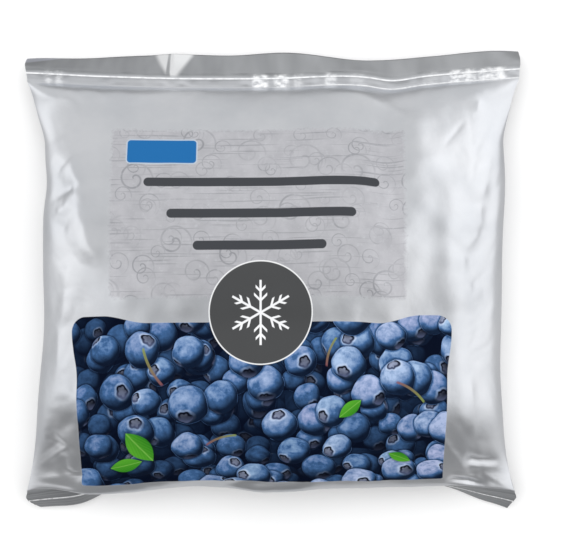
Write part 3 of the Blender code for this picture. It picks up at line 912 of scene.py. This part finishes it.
def printed_film():
    """Biaxially stretched polypropylene film, metallised on its back and printed in inks on its face.

    The metal under clear film gives the satin silver with soft wide highlights. The inks cover it, flat and
    hardly shiny, all but the panel's, which is a thin white that lets the silver through."""
    material = bpy.data.materials.new("metallised_polypropylene_film")
    material.use_nodes = True
    tree = material.node_tree
    tree.nodes.clear()
    add = partial(add_node, tree)
    place, seal = (add("VectorMath SCALE", add("UVMap", uv_map=name), 1 / MM) for name in ("film", "seal"))

    # Silver that varies a little at random, and on the strips past both seals is less metallic and darker:
    # that darker grey, darker still towards the flap's left and streaked, is painted shade
    patchy = add("TexNoise", place, 0.03, 4.0, 0.6)
    silver = add("MapRange", patchy, 0.35, 0.65)
    silver = add("Mix RGBA", silver, "#d9dce1", "#e6e8ec")
    past_top, past_bottom = add("SeparateXYZ", seal, out=slice(2))
    flap = add("MapRange", past_top, CRIMP_DEPTH, CRIMP_DEPTH + 1.5)
    fin = add("MapRange", past_bottom, -0.5, 1.5)
    strip = add("Math MAXIMUM", flap, fin)
    across, up = add("SeparateXYZ", place, out=slice(2))
    streaks = add("VectorMath MULTIPLY", place, (0.09, 0.03, 0))
    streaks = mottled(add, streaks, 1.0, 2.0, 0.5, 0.3, 0.7, -0.4, 0.4)
    # Painted shade: the flap's grey goes from darker at its left to lighter at its right, with streaks; the
    # fins take the darkest grey
    painted_strip_shade = add("MapRange", across, -90.0, 95.0, 0.1, 0.9)
    painted_strip_shade = add("Math ADD", streaks, painted_strip_shade)
    painted_strip_shade = add("Math MULTIPLY", painted_strip_shade, flap, use_clamp=True)
    painted_strip_shade = add("Mix RGBA", painted_strip_shade, "#999b9e", "#b4b6b9")
    silver = add("Mix RGBA", strip, silver, painted_strip_shade)
    metal = add("MapRange", strip, 0.0, 1.0, 1.0, 0.75)
    # A painted highlight: a pale blue-grey wedge at the flap's left corner, where it curls down
    corner = add("Math MULTIPLY_ADD", across, -0.33, past_top)
    corner = add("MapRange", corner, 41.9, 43.2, 0.0, 0.8)
    silver = add("Mix RGBA", corner, silver, "#c6c9d4")

    # The dart in the flap gets a painted highlight, near white and less metallic, but for a stripe
    dart_highlight_width = add("Math MULTIPLY_ADD", past_top, 0.68, -0.5)
    dart = add("Math SUBTRACT", away_from(add, across, DART_X), dart_highlight_width)
    dart = add("MapRange SMOOTHSTEP", dart, -2.2, 0.7, 0.85, 0.0)
    dart = add("Math MULTIPLY", dart, flap)
    stripe = away_from(add, across, DART_X - DART_STRIPE)
    stripe = add("MapRange SMOOTHSTEP", stripe, 0.35, 1.1, 0.12, 1.0)
    dart = add("Math MULTIPLY", dart, stripe)
    silver = add("Mix RGBA", dart, silver, "#e3e4e5")
    metal = add("Mix FLOAT", dart, metal, 0.4)

    # The crimped band: painted highlights, a broken white line along the ridges of both seals and along the
    # top band's foot, and white glints in patches where the film catches the light
    fin_ridge = away_from(add, past_bottom, BOTTOM_RIDGE)
    ridge = add("Math MINIMUM", away_from(add, past_top, CRIMP_DEPTH), fin_ridge)
    ridge = add("MapRange", ridge, 0.36, 0.12)
    broken = add("CombineXYZ", across, add("Math MULTIPLY", past_top, 0.45))
    glint_strength = mottled(add, broken, 0.5, 2.0, 0.6, 0.35, 0.55, 0.45, 0.95)
    white = add("Math MULTIPLY", ridge, glint_strength)
    foot = add("MapRange", away_from(add, past_top, 0.1), 0.34, 0.1)
    foot_glint_reach = add("MapRange", across, 8.0, 24.0, 0.0, 0.75)
    foot = add("Math MULTIPLY", foot, foot_glint_reach)
    foot = add("Math MULTIPLY", foot, glint_strength)
    white = add("Math MAXIMUM", white, foot)
    # Painted glints: near-white patches along the top crimp, broken up by noise
    painted_glints = 0.0
    for middle, half, strength in PAINTED_GLINT_PATCHES:
        patch = away_from(add, across, middle)
        patch = add("MapRange SMOOTHSTEP", patch, half + 1.0, half - 1.0, 0.0, strength)
        painted_glints = add("Math MAXIMUM", patch, painted_glints)
    band = box_distance(add, add("CombineXYZ", past_top, 0.0), (CRIMP_DEPTH / 2 + 0.6, 0, 2.6, 1), 0.5)
    band = inked(add, band, blur=0.5)
    painted_glints = add("Math MULTIPLY", painted_glints, band)
    glint_breakup = add("CombineXYZ", add("Math MULTIPLY", across, 0.7), past_top)
    glint_breakup = mottled(add, glint_breakup, 0.55, 2.0, 0.6, 0.38, 0.58, 0.12, 0.85)
    painted_glints = add("Math MULTIPLY", painted_glints, glint_breakup)
    white = add("Math MAXIMUM", white, painted_glints)
    silver = add("Mix RGBA", white, silver, "#f6f7f8")
    metal = add("Mix FLOAT", white, metal, 0.1)

    # The panel: thin white ink with scrolls and a few fine rules, worn away along its edges
    panel = box_distance(add, place, PANEL, 1.0)
    worn = mottled(add, place, 0.5, 3.0, 0.7, 0.3, 0.7, -0.7, 0.7)
    panel = add("Math ADD", panel, worn)
    panel = inked(add, panel, blur=0.8)
    curls = scrollwork(add, place)
    thin = mottled(add, place, 0.045, 3.0, 0.6, 0.38, 0.6, 0.08, 0.55)
    curls = add("Math MULTIPLY", curls, thin)
    rule_place = add("VectorMath MULTIPLY", place, (0.035, 1.4, 0))
    rules = mottled(add, rule_place, 1.0, 1.0, 0.5, 0.6, 0.68, 0.0, 0.42)
    curls = add("Math MAXIMUM", rules, curls)
    cloudy = mottled(add, place, 0.16, 3.0, 0.6, 0.35, 0.65, 0.0, 0.22)
    curls = add("Math ADD", cloudy, curls, use_clamp=True)
    base = add("Mix RGBA", curls, "#cbcbd0", "#8f9197")
    base = add("Mix RGBA", panel, silver, base)
    metal = add("Mix FLOAT", panel, metal, 0.7)

    # The picture's frame: square at its foot, with its two upper corners rounded and drawn up and out
    ear = add("MapRange SMOOTHSTEP", away_from(add, across, PICTURE[0]), 44.0, 62.0)
    rise = add("MapRange", up, PICTURE[1], PICTURE[1] + PICTURE[3], 0.0, PICTURE_EARS)
    rise = add("Math MULTIPLY", rise, ear)
    flare = add("MapRange SMOOTHSTEP", up, PICTURE[1] + 14, PICTURE[1] + 30, 1.0, 0.975)
    drawn_in = add("Math MULTIPLY", across, flare)
    lowered = add("CombineXYZ", drawn_in, add("Math SUBTRACT", up, rise))
    frame_edge = box_distance(add, lowered, PICTURE, 5.5)
    foot_half = PICTURE[3] / 2
    foot_box = (PICTURE[0], PICTURE[1] - foot_half, PICTURE[2], foot_half)
    frame_edge = add("Math MINIMUM", frame_edge, box_distance(add, lowered, foot_box, 1.0))
    ink = inked(add, frame_edge)
    base = add("Mix RGBA", ink, base, lay_leaves(add, place, berry_colours(add, place)))

    # Flat opaque inks: the tag, the bars and the badge
    tag = box_distance(add, place, TAG, 1.4)
    base = add("Mix RGBA", inked(add, tag, TAG_RIM), base, "#ccd9e6")
    off = add("VectorMath SUBTRACT", place, (*BADGE_MIDDLE, 0))
    away = add("VectorMath LENGTH", off)
    prints = [(inked(add, tag), "#24659f"), (inked(add, away, BADGE_RADIUS + BADGE_RIM), "#e6e7e8")]
    prints += [(inked(add, box_distance(add, place, bar, bar[3])), "#404246") for bar in BARS]
    for cover, code in prints:
        base = add("Mix RGBA", cover, base, code)
        ink = add("Math MAXIMUM", cover, ink)
    base = add("Mix RGBA", inked(add, away, BADGE_RADIUS), base, "#48494a")
    base = add("Mix RGBA", snowflake(add, off), base, "#e9eaec")

    # Ink hides the metal. The clear film over it is finely crinkled
    metal = add("Math MULTIPLY", metal, add("Math SUBTRACT", 1.0, ink))
    rough = add("MapRange", patchy, 0.3, 0.7, *FILM_ROUGHNESS)
    rough = add("Mix FLOAT", ink, rough, INK_ROUGHNESS)
    bump = add("Bump", *CRINKLE, None, add("TexNoise", place, 0.35, 3.0, 0.55))

    output = tree.nodes.new("ShaderNodeOutputMaterial")
    shader = tree.nodes.new("ShaderNodeBsdfPrincipled")
    shader.inputs["Specular IOR Level"].default_value = FILM_GLOSS
    for name, socket in (("Base Color", base), ("Metallic", metal), ("Roughness", rough), ("Normal", bump)):
        tree.links.new(socket, shader.inputs[name])
    tree.links.new(shader.outputs["BSDF"], output.inputs["Surface"])
    return material


def make_floor():
    """A white sheet of paper, matt, larger than any view of the bag."""
    mesh = bpy.data.meshes.new("floor")
    corners = [(x * FLOOR_REACH, y * FLOOR_REACH, 0) for x, y in ((-1, -1), (1, -1), (1, 1), (-1, 1))]
    mesh.from_pydata(corners, [], [(0, 1, 2, 3)])
    floor = new_object("floor", mesh)
    material = bpy.data.materials.new("matt_white_paper")
    material.use_nodes = True
    shader = material.node_tree.nodes["Principled BSDF"]
    shader.inputs["Base Color"].default_value = colour("#fcfcfc")
    shader.inputs["Roughness"].default_value = 0.9
    mesh.materials.append(material)
    floor.visible_glossy = False


def make_softbox():
    """A square area light aimed at the middle of the bag. The film doesn't mirror it."""
    light = bpy.data.lights.new("overhead_softbox", "AREA")
    light.size, light.energy = SOFTBOX_SIZE, SOFTBOX_WATTS
    lamp = new_object("overhead_softbox", light)
    lamp.location = SOFTBOX_PLACE
    lamp.rotation_euler = (-Vector(SOFTBOX_PLACE)).to_track_quat("-Z", "Y").to_euler()
    lamp.visible_glossy = False


def make_world():
    """A grey studio: mid grey overhead, lighter to both sides and towards the top seal, darker towards the
    bottom seal and the lower right, and with greys of its own below the table's height.

    Each tone is a smooth step of how far a direction points to its side."""
    world = bpy.data.worlds.new("studio")
    bpy.context.scene.world = world
    world.use_nodes = True
    tree = world.node_tree
    tree.nodes.clear()
    add = partial(add_node, tree)
    direction = add("TexCoord")
    glow = STUDIO_GREY
    for side, start, end, change in STUDIO_TONES:
        tone = add("VectorMath DOT_PRODUCT", direction, side)
        tone = add("MapRange SMOOTHSTEP", tone, start, end, 0.0, change)
        glow = add("Math ADD", tone, glow)
    side, start, end, share = FRONT_TONE
    front = add("VectorMath DOT_PRODUCT", direction, side)
    front = add("MapRange SMOOTHSTEP", front, start, end, 1.0, share)
    glow = add("Math MULTIPLY", glow, front)
    along, up = add("SeparateXYZ", direction, out=slice(1, 3))
    low = add("MapRange SMOOTHSTEP", up, *LOW_RANGE)
    low_grey = add("MapRange SMOOTHSTEP", along, 0.2, 0.8, LOW_GREY, LOW_BACK_GREY)
    glow = add("Mix FLOAT", low, glow, low_grey)
    output = tree.nodes.new("ShaderNodeOutputWorld")
    tree.links.new(add("Background", glow), output.inputs["Surface"])


def make_camera():
    """Straight above the bag with a long lens, as high as makes its picture span what it should."""
    data = bpy.data.cameras.new("camera")
    data.lens, data.sensor_width = LENS, SENSOR
    camera = new_object("camera", data)
    camera.location = (CAMERA_X, CAMERA_Y, CAMERA_SPAN * LENS / SENSOR + SPAN_HEIGHT)
    bpy.context.scene.camera = camera


make_camera()
make_world()
make_floor()
make_softbox()

bpy.context.scene.view_settings.view_transform = "Standard"

film = make_film()
film.data.materials.append(printed_film())
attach(film, "root")
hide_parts("bag")
